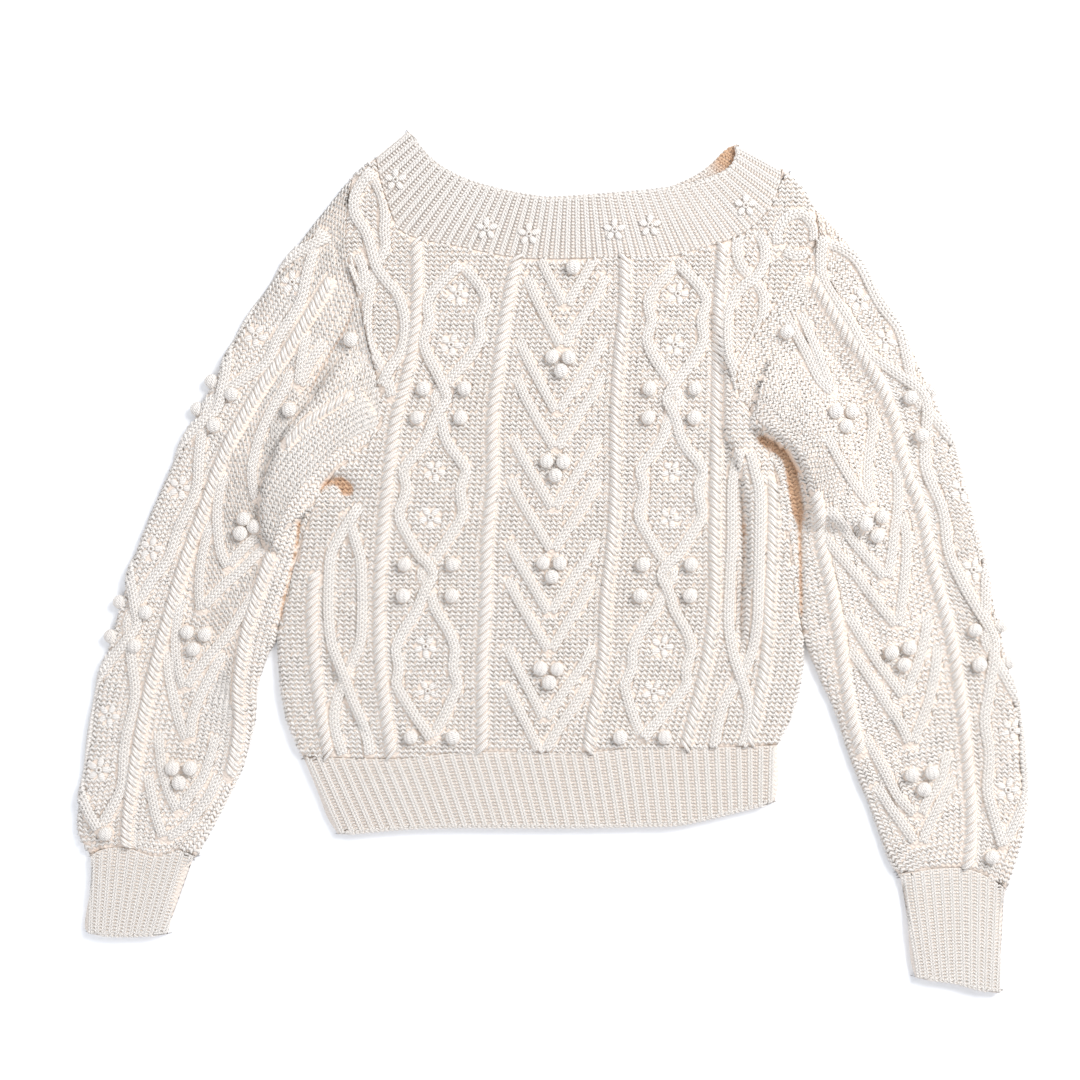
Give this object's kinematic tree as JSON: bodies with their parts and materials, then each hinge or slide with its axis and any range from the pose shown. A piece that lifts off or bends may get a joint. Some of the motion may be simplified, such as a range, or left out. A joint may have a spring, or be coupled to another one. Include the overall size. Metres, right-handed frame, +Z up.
{
  "type": "cable knit sweater",
  "caption": "Wide-necked sweater in thick cable knit with bobbles and knitted flowers, ribbed neckband, hem and cuffs, lying flat on its back with both sleeves down.",
  "frame": {"origin": "middle of the laid garment's box, on the surface that it lies on", "axes": "+X across the chest, +Y from the hem to the neck, +Z up from the surface"},
  "size_m": [0.8544, 0.7778, 0.0281],
  "materials": {
    "cable_knit": "matt ivory wool, cables and bobbles over reverse stocking stitch",
    "plain_knit": "matt ivory wool, plain knitting",
    "rib_knit": "matt ivory wool, single rib"
  },
  "bodies": {
    "root": {"front_panel": "cable_knit", "back_panel": "plain_knit", "left_sleeve": "cable_knit", "right_sleeve": "cable_knit", "neckband": "rib_knit", "hem_rib": "rib_knit", "left_cuff": "rib_knit", "right_cuff": "rib_knit"}
  },
  "joints": []
}
